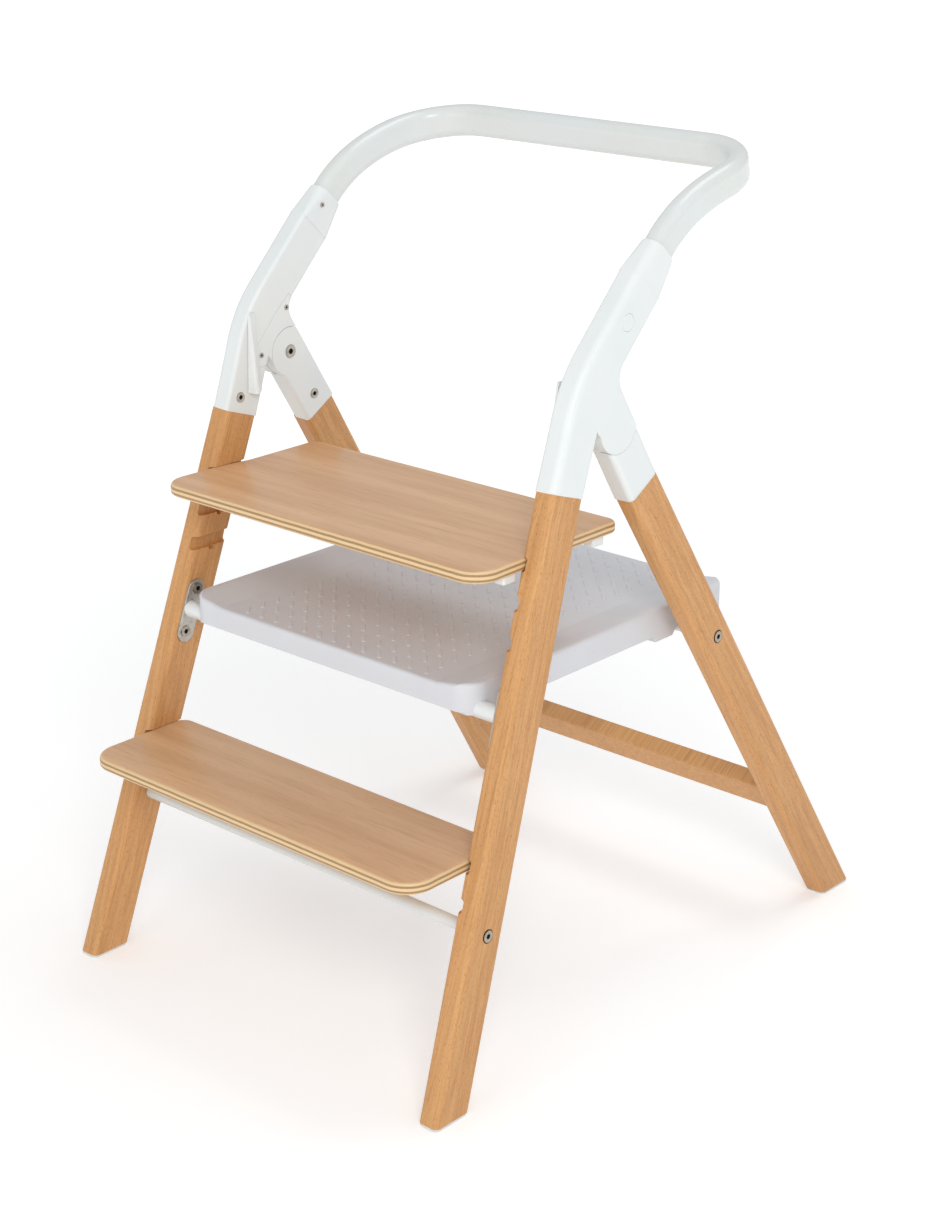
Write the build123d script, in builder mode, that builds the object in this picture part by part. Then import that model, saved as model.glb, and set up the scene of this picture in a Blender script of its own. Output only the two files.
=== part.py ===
# High chair with two splayed wooden side frames, a folding rear frame, a handrail hoop,
# slot-in seat and step boards, and a moulded platform that hooks over the rear rod.
# Millimetres, +Z up, +X to the sitter's left, the child faces -Y.
# The origin is the centre of the footprint on the floor.
import os
from math import acos, atan2, cos, degrees, radians, sin, tan

from build123d import *

os.makedirs("parts", exist_ok=True)

# Clearances
seat_gap = 0.3
running_gap = 0.08
screw_gap = 0.15

# Side frames
floor_half_width = 265.0
splay = 2.79
wood_thickness = 25.0
wood_depth = 45.0
wood_edge_radius = 6.0
pad_thickness = 2.5
pad_inset = 0.6
post_foot_y = -327.7
post_lean = 18.9
leg_lean = 31.56
below_floor = 45.0
tenon_length = 33.0
tenon_thickness = 13.0
tenon_depth = 31.0

# Folding joint, with the leg's centreline through the hinge
hinge_y = -58.5
hinge_z = 625.0
slab_inner = 212.0
slab_thickness = 25.0
tongue_thickness = 12.0
cap_round_radius = 26.5
post_shoulder_z = 572.4
leg_shoulder_z = 555.5
outer_round = 8.0
inner_round = 4.0
rear_round = 3.0
cap_round = 6.0

# Connector outline in the side view
knee_run = 48.0
front_curve = [(-128.5, 652.0), (-114.6, 680.2)]
neck_angle = 45.9
neck_width = 45.0
neck_run = 89.5
seam_y = -17.0
seam_z = 752.9
notch_radius = 20.0
crotch_angle = 192.0

# Handrail hoop
hoop_x = 224.3
tube_height = 34.0
tube_width = 22.0
tube_corner = 9.5
tube_wall = 2.0
collar_floor = 3.0
collar_length = 39.0
collar_border = 2.0
collar_base_thickness = 26.0
spigot_length = 26.0
spigot_thickness = 13.0
spigot_depth = 30.0
hoop_bend_start = 4.0
hoop_rear_y = 185.0
hoop_rear_z = 847.5
hoop_slope = 11.7
hoop_corner_radius = 72.0

# Boards in level grooves
groove_height = 13.6
groove_depth = 7.0
groove_pitch = 36.0
seat_groove_z = 513.0
seat_groove_count = 3
step_groove_z = 238.5
step_groove_count = 2
groove_round = 3.0
detent_radius = 4.0
board_thickness = 13.0
board_edge_radius = 4.5
seat_front_y = -241.0
seat_rear_y = -24.0
seat_front_half = 221.7
seat_post_half = 220.0
seat_rear_half = 213.4
seat_waist_front_y = -165.0
seat_waist_rear_y = -124.0
seat_waist_round = 20.0
seat_front_corner = 27.0
seat_rear_corner = 12.0
step_front_y = -348.5
step_rear_y = -215.0
step_half = 231.6
step_front_corner = 30.0
step_rear_corner = 15.0
stop_height = 9.0
stop_width = 13.0
stop_length = 17.5
stop_round = 2.0
front_stop_gap = 0.6
rear_stop_y = -51.5

# Rods, bolts and screws
rod_radius = 6.25
tie_rod_y = -267.5
tie_rod_z = 173.6
rear_rod_y = 100.0
rear_rod_z = 369.4
bolt_head_radius = 6.0
bolt_rim_radius = 7.25
bolt_head_height = 3.2
bolt_head_proud = 0.6
bolt_shank_radius = 3.0
bolt_length = 44.0
hinge_head_radius = 7.0
hinge_shank_radius = 4.0
hinge_bolt_length = 21.5
hinge_head_height = 3.0
cap_screw_radius = 5.5
screw_shank_radius = 2.4
cap_screw_y = -25.0
cap_screw_z = 572.0
post_screw_y = -132.6
post_screw_z = 589.0
cover_screw_radius = 3.0
cover_screws = [(-62.6, 673.5), (-100.5, 628.2)]
collar_screw_radius = 2.5
collar_screw = (-6.5, 774.7)
collar_screw_shank = 1.3
collar_screw_proud = 1.0
collar_head_height = 1.7
collar_screw_length = 4.2
plug_radius = 8.5
plug_y = -47.6
plug_z = 723.6
socket_depth = 2.0
screw_head_height = 2.6
screw_proud = 0.5
screw_length = 18.0

# Hinge cover on the inner face of each connector
cover_thickness = 3.0
cover_front = [(-109.5, 636.5), (-93.0, 654.0), (-76.7, 671.6)]
cover_neck_run = 76.0
cover_neck_across = 14.9
cover_bottom_z = 616.0
cover_bottom_y = -112.0
cover_shank_radius = 1.6
cover_screw_length = 14.0
cover_screw_height = 2.0
plug_thickness = 3.0
plug_proud = 0.4

# Release levers, as a low and a high section of the base on the connector's inner face
lever_low = (-112.0, 592.0)
lever_high = (-114.0, 676.0)
lever_low_width = 20.0
lever_high_width = 9.0
lever_low_height = 15.0
lever_high_height = 2.0
lever_ridge_offset = 2.5
lever_round = 3.5
lever_gap = 0.7
lever_pivot_y = -112.5
lever_pivot_z = 670.0
lever_pivot_depth = 4.0
lever_arm_radius = 2.8
lever_arm_width = 3.4
lever_side_play = 0.5
lever_slot_height = 9.0
lever_slot_depth = 8.0
lever_pin_radius = 1.25
lever_pin_length = 10.0

# Crossbar between the rear legs
crossbar_run = 162.8
crossbar_height = 38.0
crossbar_thickness = 20.0
crossbar_round = 3.0
dowel_radius = 4.0
dowel_length = 30.0
dowel_pitch = 19.0

# Platform
platform_half = 199.0
platform_front_y = -227.0
platform_rear_y = 184.0
platform_bottom_z = 369.5
platform_panel_z = 393.0
platform_rim_z = 399.0
platform_corner = 25.0
platform_wall = 3.0
panel_half = 152.0
rim_half = 188.0
platform_edge = 4.0
platform_skin = 3.0
pin_y = -209.0
pin_z = 371.4
pin_radius = 8.75
bearing_width = 26.0
bearing_wall = 4.0
bearing_drop = 2.5
saddle_width = 30.0
saddle_front_y = 57.0
saddle_rear_y = 118.0
saddle_bottom_z = 363.0
saddle_ramp = 48.0
saddle_depth = 40.0
bearing_length = 20.0
rib_thickness = 2.4
rib_bottom_z = 377.0
cross_rib_y = [-140.0, -40.0, 30.0]
long_rib_x = [-76.0, 0.0, 76.0]

# Pivot plates on the posts
plate_length = 70.0
plate_width = 22.0
plate_thickness = 2.5
plate_y = -207.9
plate_z = 369.7
plate_screws = [(-199.0, 391.9), (-216.7, 347.4)]
plate_screw_radius = 6.0
plate_screw_height = 2.6
plate_screw_proud = 1.2
plate_edge = 0.8

# Planes and directions of the right side frame
side = Plane(
    origin=(floor_half_width, 0, 0),
    x_dir=(0, 1, 0),
    z_dir=(cos(radians(splay)), 0, sin(radians(splay))),
)
side_left = Plane(
    origin=(-floor_half_width, 0, 0),
    x_dir=(0, -1, 0),
    z_dir=(-cos(radians(splay)), 0, sin(radians(splay))),
)
slab = Plane.YZ.offset(slab_inner)
slab_outer = slab_inner + slab_thickness
post_run_to_z = cos(radians(post_lean)) * cos(radians(splay))
leg_run_to_z = cos(radians(leg_lean)) * cos(radians(splay))


# Point on a bar's centreline in the side plane, a run up from the floor.
# A positive lean goes towards +Y with height.
def bar_point(foot_y, lean, run):
    return (foot_y + run * sin(radians(lean)), run * cos(radians(lean)))


# Rectangle of one width laid along a bar between two runs.
def bar_strip(foot_y, lean, start, end, width):
    with Locations(bar_point(foot_y, lean, (start + end) / 2)):
        Rectangle(width, end - start, rotation=-lean)


# Point beside a bar's centreline in the world side view, across towards +Y.
def bar_side(foot_y, lean, run, across):
    y = foot_y + run * sin(radians(lean)) + across * cos(radians(lean))
    z = (run * cos(radians(lean)) - across * sin(radians(lean))) * cos(radians(splay))
    return (y, z)


# Inner and outer wood face at a height.
def wood_outer(z):
    return floor_half_width - z * tan(radians(splay))


def wood_inner(z):
    return wood_outer(z) - wood_thickness / cos(radians(splay))


# Direction of a leaning bar's long edges.
def bar_axis(lean):
    return Axis((0, 0, 0), side.x_dir * sin(radians(lean)) + side.y_dir * cos(radians(lean)))


post_axis = bar_axis(post_lean)
leg_axis = bar_axis(-leg_lean)
post_shoulder = post_shoulder_z / post_run_to_z
leg_shoulder = leg_shoulder_z / leg_run_to_z
hinge_run = hinge_z / leg_run_to_z
leg_foot_y = hinge_y + hinge_run * sin(radians(leg_lean))
half_depth = wood_depth / 2


# Screw or bolt along X: a head with a six-sided socket and a plain shank.
# The head's outer face is at head_x and the shank runs towards the sign of way.
def fastener(head_x, y, z, head_radius, head_height, shank_radius, length, way):
    with BuildSketch(Plane.YZ.offset(head_x)) as head:
        with Locations((y, z)):
            Circle(head_radius)
    extrude(head.sketch, amount=way * head_height)
    with BuildSketch(Plane.YZ.offset(head_x + way * head_height)) as shank:
        with Locations((y, z)):
            Circle(shank_radius)
    extrude(shank.sketch, amount=way * (length - head_height))
    with BuildSketch(Plane.YZ.offset(head_x)) as socket:
        with Locations((y, z)):
            RegularPolygon(head_radius * 0.48, 6)
    extrude(socket.sketch, amount=way * min(socket_depth, head_height - 0.6), mode=Mode.SUBTRACT)


# Round hole along X from one x to another.
def hole_x(from_x, to_x, y, z, radius):
    with BuildSketch(Plane.YZ.offset(from_x)) as opening:
        with Locations((y, z)):
            Circle(radius)
    extrude(opening.sketch, amount=to_x - from_x, mode=Mode.SUBTRACT)


# Level groove across a post's inner face with a half-round detent under its middle.
def groove(z):
    face_x = wood_inner(z)
    with BuildSketch(Plane.XZ) as slot:
        with Locations((face_x + groove_depth - groove_height, z)):
            Rectangle(2 * groove_height, groove_height)
        fillet(vertices().group_by(Axis.X)[-1], groove_round)
    extrude(slot.sketch, amount=-2 * post_foot_y, mode=Mode.SUBTRACT)
    middle_y = post_foot_y + z * tan(radians(post_lean))
    detent_z = z - groove_height / 2
    hole_x(face_x - groove_depth, face_x + groove_depth, middle_y, detent_z, detent_radius)


seat_grooves = [seat_groove_z - groove_pitch * i for i in range(seat_groove_count)]
step_grooves = [step_groove_z - groove_pitch * i for i in range(step_groove_count)]

# Front posts with tenon, grooves, tie-rod hole and screw holes
with BuildPart() as post_right:
    with BuildSketch(side):
        bar_strip(post_foot_y, post_lean, -below_floor, post_shoulder, wood_depth)
    extrude(amount=-wood_thickness)
    fillet(edges().filter_by(post_axis), wood_edge_radius)
    with BuildSketch(side.offset(-(wood_thickness - tenon_thickness) / 2)):
        bar_strip(post_foot_y, post_lean, post_shoulder - 1, post_shoulder + tenon_length, tenon_depth)
    extrude(amount=-tenon_thickness)
    split(bisect_by=Plane.XY.offset(pad_thickness), keep=Keep.TOP)
    for groove_z in seat_grooves + step_grooves:
        groove(groove_z)
    rod_face = wood_outer(tie_rod_z)
    hole_x(rod_face - bolt_length, rod_face + 5, tie_rod_y, tie_rod_z, bolt_shank_radius + screw_gap)
    hole_x(rod_face - bolt_head_height, rod_face + 5, tie_rod_y, tie_rod_z, bolt_rim_radius)
    for screw_y, screw_z in plate_screws:
        screw_face = wood_inner(screw_z)
        hole_x(screw_face - 2, screw_face + screw_length, screw_y, screw_z, screw_shank_radius + screw_gap)
    hole_x(slab_inner, slab_inner + screw_length + 1, post_screw_y, post_screw_z, screw_shank_radius + screw_gap)

# Rear legs with tenon, rod hole, dowel holes and screw hole
dowel_runs = [crossbar_run - dowel_pitch / 2, crossbar_run + dowel_pitch / 2]
dowel_points = [bar_side(leg_foot_y, -leg_lean, run, 0) for run in dowel_runs]
with BuildPart() as leg_right:
    with BuildSketch(side):
        bar_strip(leg_foot_y, -leg_lean, -below_floor, leg_shoulder, wood_depth)
    extrude(amount=-wood_thickness)
    fillet(edges().filter_by(leg_axis), wood_edge_radius)
    with BuildSketch(side.offset(-(wood_thickness - tenon_thickness) / 2)):
        bar_strip(leg_foot_y, -leg_lean, leg_shoulder - 1, leg_shoulder + tenon_length, tenon_depth)
    extrude(amount=-tenon_thickness)
    split(bisect_by=Plane.XY.offset(pad_thickness), keep=Keep.TOP)
    rod_face = wood_outer(rear_rod_z)
    hole_x(rod_face - bolt_length, rod_face + 5, rear_rod_y, rear_rod_z, bolt_shank_radius + screw_gap)
    hole_x(rod_face - bolt_head_height, rod_face + 5, rear_rod_y, rear_rod_z, bolt_rim_radius)
    for dowel_y, dowel_z in dowel_points:
        dowel_face = wood_inner(dowel_z)
        hole_x(dowel_face - 2, dowel_face + dowel_length / 2, dowel_y, dowel_z, dowel_radius)
    hole_x(slab_inner, slab_inner + screw_length + 1, cap_screw_y, cap_screw_z, screw_shank_radius + screw_gap)

with BuildPart() as post_left:
    mirror(post_right.part, about=Plane.YZ)

with BuildPart() as leg_left:
    mirror(leg_right.part, about=Plane.YZ)

# Foot pads, cut from the same leaning strips
with BuildPart() as front_pads:
    with BuildSketch(side.offset(-pad_inset)):
        bar_strip(post_foot_y, post_lean, -below_floor, below_floor, wood_depth - 2 * pad_inset)
    extrude(amount=-(wood_thickness - 2 * pad_inset))
    fillet(edges().filter_by(post_axis), wood_edge_radius)
    split(bisect_by=Plane.XY.offset(pad_thickness), keep=Keep.BOTTOM)
    split(bisect_by=Plane.XY, keep=Keep.TOP)
    mirror(about=Plane.YZ)

with BuildPart() as rear_pads:
    with BuildSketch(side.offset(-pad_inset)):
        bar_strip(leg_foot_y, -leg_lean, -below_floor, below_floor, wood_depth - 2 * pad_inset)
    extrude(amount=-(wood_thickness - 2 * pad_inset))
    fillet(edges().filter_by(leg_axis), wood_edge_radius)
    split(bisect_by=Plane.XY.offset(pad_thickness), keep=Keep.BOTTOM)
    split(bisect_by=Plane.XY, keep=Keep.TOP)
    mirror(about=Plane.YZ)



# Point on a circle about the hinge, with the angle from the rear, turning up.
def round_hinge(radius, angle):
    return (hinge_y + radius * cos(radians(angle)), hinge_z + radius * sin(radians(angle)))


# Point from the middle of the neck's seam, back down the neck and across towards the rear.
def neck_point(down, across):
    along_y = cos(radians(neck_angle))
    along_z = sin(radians(neck_angle))
    return (seam_y - down * along_y + across * along_z, seam_z - down * along_z - across * along_y)


# Edge of the part in hand that lies nearest to a point.
def edge_near(x, point):
    return edges().sort_by_distance((x, point[0], point[1]))[0]


def midway(first, second):
    return ((first[0] + second[0]) / 2, (first[1] + second[1]) / 2)


# Connector outline: up the post's front face, round to the neck, across the seam,
# down the neck's rear and the leg's rear face, round the hinge circle to the crotch.
skin_radius = cap_round_radius + 2 * seat_gap
rear_meet_angle = leg_lean - degrees(acos(half_depth / skin_radius))
front_base = bar_side(post_foot_y, post_lean, post_shoulder - 2, -half_depth)
rear_base = bar_side(post_foot_y, post_lean, post_shoulder - 2, half_depth)
front_knee = bar_side(post_foot_y, post_lean, post_shoulder + knee_run, -half_depth)
seam_front = neck_point(0, -neck_width / 2)
seam_rear = neck_point(0, neck_width / 2)
neck_front = neck_point(neck_run, -neck_width / 2)
crotch = round_hinge(skin_radius, crotch_angle)
hinge_drop = (hinge_z - rear_base[1]) / post_run_to_z
crotch_rear = bar_side(post_foot_y, post_lean, post_shoulder - 2 + hinge_drop, half_depth)
leg_slope = tan(radians(leg_lean)) / cos(radians(splay))
leg_rear_foot = leg_foot_y + half_depth / cos(radians(leg_lean))
neck_back = (seam_rear[0] - leg_rear_foot + leg_slope * seam_rear[1]) / (
    cos(radians(neck_angle)) + leg_slope * sin(radians(neck_angle))
)
notch_corner = neck_point(neck_back, neck_width / 2)
post_top_plane = Plane(
    origin=side.from_local_coords((*bar_point(post_foot_y, post_lean, post_shoulder), 0)),
    z_dir=post_axis.direction,
)
leg_top_plane = Plane(
    origin=side.from_local_coords((*bar_point(leg_foot_y, -leg_lean, leg_shoulder), 0)),
    z_dir=leg_axis.direction,
)
tongue_face = slab_inner + tongue_thickness
head_recess = screw_head_height - screw_proud

seam_plane = Plane(
    origin=(slab_inner + slab_thickness / 2, seam_y, seam_z),
    x_dir=(1, 0, 0),
    z_dir=(0, cos(radians(neck_angle)), sin(radians(neck_angle))),
)

# The lever's base runs from its low to its high section, and its pin lies across it
lever_face = slab_inner - lever_gap
lever_pivot_x = slab_inner + lever_pivot_depth
lever_tilt = degrees(atan2(lever_low[0] - lever_high[0], lever_high[1] - lever_low[1]))
lever_up = (0, -sin(radians(lever_tilt)), cos(radians(lever_tilt)))
lever_across = (0, cos(radians(lever_tilt)), sin(radians(lever_tilt)))
lever_pin_plane = Plane(
    origin=(lever_pivot_x, lever_pivot_y, lever_pivot_z), x_dir=(1, 0, 0), z_dir=lever_across
)

with BuildSketch(slab) as connector_outline:
    with BuildLine():
        Line(front_base, front_knee)
        Spline(
            front_knee,
            *front_curve,
            neck_front,
            tangents=[
                (sin(radians(post_lean)), cos(radians(post_lean))),
                (cos(radians(neck_angle)), sin(radians(neck_angle))),
            ],
        )
        rear_meet = round_hinge(skin_radius, rear_meet_angle)
        Polyline(neck_front, seam_front, seam_rear, notch_corner, rear_meet)
        ThreePointArc(rear_meet, round_hinge(skin_radius, 270), crotch)
        Polyline(crotch, crotch_rear, rear_base, front_base)
    make_face()
    fillet(vertices().sort_by_distance(notch_corner)[0], notch_radius)


# Outline of the hinge cover, grown by a gap for its recess in the connector.
def cover_points(gap):
    forward = (-gap * sin(radians(neck_angle)), gap * cos(radians(neck_angle)))
    front = [(y + forward[0], z + forward[1]) for y, z in cover_front]
    return [
        *front,
        neck_point(cover_neck_run - gap, cover_neck_across - gap),
        neck_point(cover_neck_run - gap, neck_width),
        round_hinge(neck_width, 20),
        (hinge_y, hinge_z),
        (hinge_y, cover_bottom_z - gap),
        (cover_bottom_y - gap, cover_bottom_z - gap),
    ]


with BuildPart() as connector_right:
    extrude(connector_outline.sketch, amount=slab_thickness)
    front_points = [midway(front_base, front_knee), front_curve[0], midway(neck_front, seam_front)]
    rear_points = [midway(seam_rear, notch_corner), midway(crotch_rear, rear_base)]
    fillet([edge_near(slab_outer, point) for point in front_points], outer_round)
    fillet([edge_near(slab_inner, point) for point in front_points], inner_round)
    fillet([edge_near(slab_outer, point) for point in rear_points], rear_round)
    fillet([edge_near(slab_inner, point) for point in rear_points], rear_round)
    split(bisect_by=post_top_plane, keep=Keep.TOP)
    hole_x(slab_inner, tongue_face + seat_gap, hinge_y, hinge_z, skin_radius)
    hole_x(tongue_face, slab_outer - 3, hinge_y, hinge_z, hinge_shank_radius + screw_gap)
    with BuildSketch(side.offset(-(wood_thickness - tenon_thickness) / 2 + seat_gap)):
        bar_strip(
            post_foot_y,
            post_lean,
            post_shoulder - 5,
            post_shoulder + tenon_length + seat_gap,
            tenon_depth + 2 * seat_gap,
        )
    extrude(amount=-(tenon_thickness + 2 * seat_gap), mode=Mode.SUBTRACT)
    hole_x(slab_inner, slab_inner + head_recess, post_screw_y, post_screw_z, cap_screw_radius + screw_gap)
    hole_x(slab_inner, slab_inner + 9, post_screw_y, post_screw_z, screw_shank_radius + screw_gap)
    with BuildSketch(seam_plane):
        Rectangle(spigot_thickness + 2 * seat_gap, spigot_depth + 2 * seat_gap)
    extrude(amount=-(spigot_length + seat_gap), mode=Mode.SUBTRACT)
    with BuildSketch(slab):
        Polygon(*cover_points(seat_gap), align=None)
    extrude(amount=cover_thickness, mode=Mode.SUBTRACT)
    for screw_y, screw_z in cover_screws:
        hole_x(slab_inner, slab_inner + cover_screw_length, screw_y, screw_z, cover_shank_radius + screw_gap)
    hole_x(slab_outer - plug_thickness, slab_outer, plug_y, plug_z, plug_radius + screw_gap)
    with BuildSketch(slab):
        with Locations((lever_pivot_y, lever_pivot_z)):
            Rectangle(lever_arm_width + 2 * lever_side_play, lever_slot_height, rotation=lever_tilt)
    extrude(amount=lever_slot_depth, mode=Mode.SUBTRACT)
    with BuildSketch(lever_pin_plane):
        Circle(lever_pin_radius)
    extrude(amount=lever_pin_length / 2, both=True, mode=Mode.SUBTRACT)

with BuildPart() as connector_left:
    mirror(connector_right.part, about=Plane.YZ)

# Hinge covers fill the recess on the connector's inner face, round the tongue
with BuildPart() as cover_right:
    extrude(connector_outline.sketch, amount=cover_thickness)
    fillet(edge_near(slab_inner, midway(seam_rear, notch_corner)), rear_round - 0.5)
    fillet(edge_near(slab_inner, midway(crotch_rear, rear_base)), rear_round - 0.5)
    with BuildSketch(slab):
        Polygon(*cover_points(0), align=None)
    extrude(amount=cover_thickness, mode=Mode.INTERSECT)
    hole_x(slab_inner, slab_inner + cover_thickness, hinge_y, hinge_z, skin_radius)
    for screw_y, screw_z in cover_screws:
        hole_x(slab_inner, slab_inner + cover_thickness, screw_y, screw_z, cover_shank_radius + screw_gap)
        hole_x(slab_inner, slab_inner + cover_screw_height - 0.3, screw_y, screw_z, cover_screw_radius + 0.1)

with BuildPart() as cover_left:
    mirror(cover_right.part, about=Plane.YZ)

# Leg caps: a thin tongue with a round top inside, full thickness below the hinge circle
with BuildPart() as cap_right:
    low = leg_shoulder - 5
    with BuildSketch(slab):
        with Locations((hinge_y, hinge_z)):
            Circle(cap_round_radius)
        Polygon(
            bar_side(leg_foot_y, -leg_lean, low, -half_depth),
            bar_side(leg_foot_y, -leg_lean, low, half_depth),
            bar_side(leg_foot_y, -leg_lean, hinge_run, half_depth),
            bar_side(leg_foot_y, -leg_lean, hinge_run, -half_depth),
            align=None,
        )
        Polygon(
            bar_side(leg_foot_y, -leg_lean, low, half_depth),
            bar_side(leg_foot_y, -leg_lean, low, wood_depth),
            bar_side(leg_foot_y, -leg_lean, hinge_run + wood_depth, wood_depth),
            bar_side(leg_foot_y, -leg_lean, hinge_run + wood_depth, half_depth),
            align=None,
            mode=Mode.SUBTRACT,
        )
    extrude(amount=tongue_thickness)
    with BuildSketch(Plane.YZ.offset(tongue_face)):
        Polygon(
            bar_side(leg_foot_y, -leg_lean, low, -half_depth),
            bar_side(leg_foot_y, -leg_lean, low, half_depth),
            bar_side(leg_foot_y, -leg_lean, hinge_run, half_depth),
            bar_side(leg_foot_y, -leg_lean, hinge_run, -half_depth),
            align=None,
        )
        with Locations((hinge_y, hinge_z)):
            Circle(skin_radius + seat_gap, mode=Mode.SUBTRACT)
    extrude(amount=slab_thickness - tongue_thickness)
    mid_run = (leg_shoulder + hinge_run) / 2 - 10
    cap_front = bar_side(leg_foot_y, -leg_lean, mid_run, -half_depth)
    cap_rear = bar_side(leg_foot_y, -leg_lean, mid_run, half_depth)
    fillet([edge_near(slab_outer, cap_front), edge_near(slab_outer, cap_rear)], cap_round)
    fillet(edge_near(slab_inner, cap_front), inner_round)
    fillet(edge_near(slab_inner, cap_rear), rear_round)
    split(bisect_by=leg_top_plane, keep=Keep.TOP)
    hole_x(slab_inner, tongue_face, hinge_y, hinge_z, hinge_shank_radius + running_gap)
    hole_x(slab_inner, slab_inner + hinge_head_height, hinge_y, hinge_z, hinge_head_radius + seat_gap)
    with BuildSketch(side.offset(-(wood_thickness - tenon_thickness) / 2 + seat_gap)):
        bar_strip(
            leg_foot_y,
            -leg_lean,
            leg_shoulder - 5,
            leg_shoulder + tenon_length + seat_gap,
            tenon_depth + 2 * seat_gap,
        )
    extrude(amount=-(tenon_thickness + 2 * seat_gap), mode=Mode.SUBTRACT)
    hole_x(slab_inner, slab_inner + head_recess, cap_screw_y, cap_screw_z, cap_screw_radius + screw_gap)
    hole_x(slab_inner, slab_inner + 9, cap_screw_y, cap_screw_z, screw_shank_radius + screw_gap)

with BuildPart() as cap_left:
    mirror(cap_right.part, about=Plane.YZ)

# Collars carry the hoop: a spigot in the neck and a ring round the tube
collar_head_x = hoop_x - tube_width / 2 - collar_border - collar_screw_proud
hoop_plane = seam_plane.move(Location((hoop_x - slab_inner - slab_thickness / 2, 0, 0)))
collar_top_plane = hoop_plane.offset(collar_length)
with BuildPart() as collar_right:
    with BuildSketch(seam_plane):
        Rectangle(collar_base_thickness, neck_width)
        fillet(vertices().group_by(Axis.Y)[0].sort_by(Axis.X)[-1], outer_round)
        fillet(vertices().group_by(Axis.Y)[0].sort_by(Axis.X)[0], inner_round)
        fillet(vertices().group_by(Axis.Y)[-1], rear_round)
    with BuildSketch(collar_top_plane):
        Rectangle(tube_width + 2 * collar_border, tube_height + 2 * collar_border)
        fillet(vertices(), tube_corner + collar_border)
    loft()
    with BuildSketch(seam_plane):
        Rectangle(spigot_thickness, spigot_depth)
    extrude(amount=-spigot_length)
    with BuildSketch(hoop_plane.offset(collar_floor)):
        Rectangle(tube_width + 2 * seat_gap, tube_height + 2 * seat_gap)
        fillet(vertices(), tube_corner + seat_gap)
    extrude(amount=collar_length, mode=Mode.SUBTRACT)
    collar_seat_x = collar_head_x + collar_head_height
    hole_x(collar_head_x - 2, slab_inner + 4, *collar_screw, collar_screw_shank + screw_gap)
    hole_x(collar_head_x - 2, collar_seat_x, *collar_screw, collar_screw_radius + screw_gap)

with BuildPart() as collar_left:
    mirror(collar_right.part, about=Plane.YZ)

# Handrail hoop: up out of both collars, back along a slope and across the rear
with BuildPart() as hoop:
    hoop_start = hoop_plane.from_local_coords((0, 0, collar_floor + seat_gap))
    hoop_bend = hoop_plane.from_local_coords((0, 0, collar_length + hoop_bend_start))
    run_in = hoop_corner_radius
    slope = (cos(radians(hoop_slope)), sin(radians(hoop_slope)))
    corner_y = hoop_rear_y - run_in * slope[0]
    corner_z = hoop_rear_z - run_in * slope[1]
    bulge = hoop_corner_radius * sin(radians(45))
    corner_start = Vector(hoop_x, corner_y, corner_z)
    corner_mid = Vector(
        hoop_x - hoop_corner_radius + bulge, corner_y + bulge * slope[0], corner_z + bulge * slope[1]
    )
    corner_end = Vector(hoop_x - hoop_corner_radius, hoop_rear_y, hoop_rear_z)
    rising = (0, cos(radians(neck_angle)), sin(radians(neck_angle)))
    with BuildLine() as hoop_path:
        Line(hoop_start, hoop_bend)
        Spline(hoop_bend, corner_start, tangents=[rising, (0, slope[0], slope[1])])
        ThreePointArc(corner_start, corner_mid, corner_end)
        Line(corner_end, (0, hoop_rear_y, hoop_rear_z))
    with BuildSketch(hoop_plane.offset(collar_floor + seat_gap)):
        Rectangle(tube_width, tube_height)
        fillet(vertices(), tube_corner)
        RectangleRounded(
            tube_width - 2 * tube_wall,
            tube_height - 2 * tube_wall,
            tube_corner - tube_wall,
            mode=Mode.SUBTRACT,
        )
    sweep()
    hole_x(slab_inner, slab_inner + 5, *collar_screw, collar_screw_shank + screw_gap)
    mirror(about=Plane.YZ)

# Outer plugs and the screws and bolts of the connectors
with BuildPart() as plugs:
    with BuildSketch(Plane.YZ.offset(slab_outer - plug_thickness)):
        with Locations((plug_y, plug_z)):
            Circle(plug_radius)
    extrude(amount=plug_thickness + plug_proud)
    fillet(edges().group_by(Axis.X)[-1], plug_proud * 2)
    mirror(about=Plane.YZ)

with BuildPart() as hinge_bolts:
    fastener(
        slab_inner - screw_proud,
        hinge_y,
        hinge_z,
        hinge_head_radius,
        hinge_head_height,
        hinge_shank_radius,
        hinge_bolt_length,
        1,
    )
    mirror(about=Plane.YZ)

with BuildPart() as cap_screws:
    fastener(
        slab_inner - screw_proud,
        cap_screw_y,
        cap_screw_z,
        cap_screw_radius,
        screw_head_height,
        screw_shank_radius,
        screw_length,
        1,
    )
    mirror(about=Plane.YZ)

with BuildPart() as post_screws:
    fastener(
        slab_inner - screw_proud,
        post_screw_y,
        post_screw_z,
        cap_screw_radius,
        screw_head_height,
        screw_shank_radius,
        screw_length,
        1,
    )
    mirror(about=Plane.YZ)

with BuildPart() as cover_screw_set:
    for screw_y, screw_z in cover_screws:
        fastener(
            slab_inner - 0.3,
            screw_y,
            screw_z,
            cover_screw_radius,
            cover_screw_height,
            cover_shank_radius,
            cover_screw_length,
            1,
        )
    mirror(about=Plane.YZ)

with BuildPart() as collar_screws:
    fastener(
        collar_head_x,
        collar_screw[0],
        collar_screw[1],
        collar_screw_radius,
        collar_head_height,
        collar_screw_shank,
        collar_screw_length,
        1,
    )
    mirror(about=Plane.YZ)

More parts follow.
